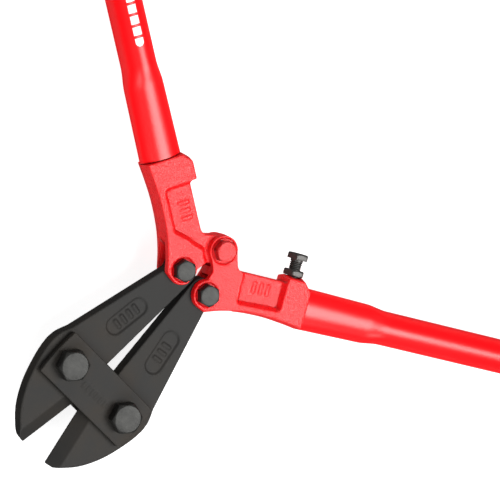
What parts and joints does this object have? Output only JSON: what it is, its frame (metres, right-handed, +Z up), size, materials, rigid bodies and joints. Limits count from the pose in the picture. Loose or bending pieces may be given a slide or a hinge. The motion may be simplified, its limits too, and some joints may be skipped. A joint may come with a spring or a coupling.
{
  "type": "bolt cutters",
  "caption": "Long-handled bolt cutters with compound lever jaws, tie plates, forged yokes, tubular handles and an adjustable stop bolt.",
  "frame": {"origin": "Centre of the bounding box's bottom face, under the tool lying flat with its handles wide open.", "axes": "+Z up along the pivot bolts, jaws pointing to -Y, handles spreading to +Y on both sides of X = 0."},
  "size_m": [1.2494, 0.5848, 0.0606],
  "materials": {
    "yoke_paint": "satin textured red paint on a forging",
    "tube_paint": "smooth glossy red paint",
    "jaw_steel": "dark phosphate on forged steel",
    "bolt_steel": "dark oiled steel",
    "washer_steel": "dark spring steel",
    "stop_steel": "black oxide steel",
    "grip_rubber": "matte black moulded grip"
  },
  "bodies": {
    "right_handle": {"right_yoke": "yoke_paint", "right_tube": "tube_paint", "right_grip": "grip_rubber", "right_jaw_bolt": "bolt_steel", "right_jaw_washer": "washer_steel", "right_jaw_nut": "bolt_steel", "centre_bolt": "yoke_paint", "centre_washer": "washer_steel", "centre_nut": "yoke_paint"},
    "left_handle": {"left_yoke": "yoke_paint", "left_tube": "tube_paint", "left_grip": "grip_rubber", "left_jaw_bolt": "bolt_steel", "left_jaw_washer": "washer_steel", "left_jaw_nut": "bolt_steel"},
    "right_jaw_body": {"right_jaw": "jaw_steel"},
    "left_jaw_body": {"left_jaw": "jaw_steel"},
    "tie_plates": {"front_tie_plate": "jaw_steel", "rear_tie_plate": "jaw_steel", "left_tie_bolt": "bolt_steel", "left_tie_washer": "washer_steel", "left_tie_nut": "bolt_steel", "right_tie_bolt": "bolt_steel", "right_tie_washer": "washer_steel", "right_tie_nut": "bolt_steel"},
    "stop_bolt_body": {"stop_bolt": "stop_steel"},
    "stop_nut_body": {"stop_nut": "stop_steel"}
  },
  "joints": [
    {"name": "handle_pivot", "type": "hinge", "parent": "right_handle", "child": "left_handle", "pos_m": [0, -0.03577, 0.0344], "axis": [0, 0, -1], "range_deg": [0, 115.3]},
    {"name": "right_jaw_pivot", "type": "hinge", "parent": "right_handle", "child": "right_jaw_body", "pos_m": [0.01733, -0.07621, 0.0344], "axis": [0, 0, 1], "range_deg": [-69.56, 1]},
    {"name": "left_jaw_pivot", "type": "hinge", "parent": "left_handle", "child": "left_jaw_body", "pos_m": [-0.01733, -0.07621, 0.0344], "axis": [0, 0, 1], "range_deg": [-1, 69.56]},
    {"name": "tie_pivot", "type": "hinge", "parent": "right_jaw_body", "child": "tie_plates", "pos_m": [0.0373, -0.21215, 0.0344], "axis": [0, 0, 1], "range_deg": [-1, 11.91]},
    {"name": "stop_bolt_travel", "type": "slide", "parent": "right_handle", "child": "stop_bolt_body", "axis": [-0.4985, 0.8669, 0], "range_m": [-0.009, 0]},
    {"name": "stop_nut_turn", "type": "hinge", "parent": "right_handle", "child": "stop_nut_body", "pos_m": [0.07195, 0.00561, 0.0344], "axis": [-0.4985, 0.8669, 0], "continuous": true}
  ],
  "couplings": [
    {"joint": "right_jaw_pivot", "follows": "handle_pivot", "ratio": -0.59465},
    {"joint": "left_jaw_pivot", "follows": "handle_pivot", "ratio": 0.59465},
    {"joint": "tie_pivot", "follows": "handle_pivot", "ratio": 0.09465}
  ]
}
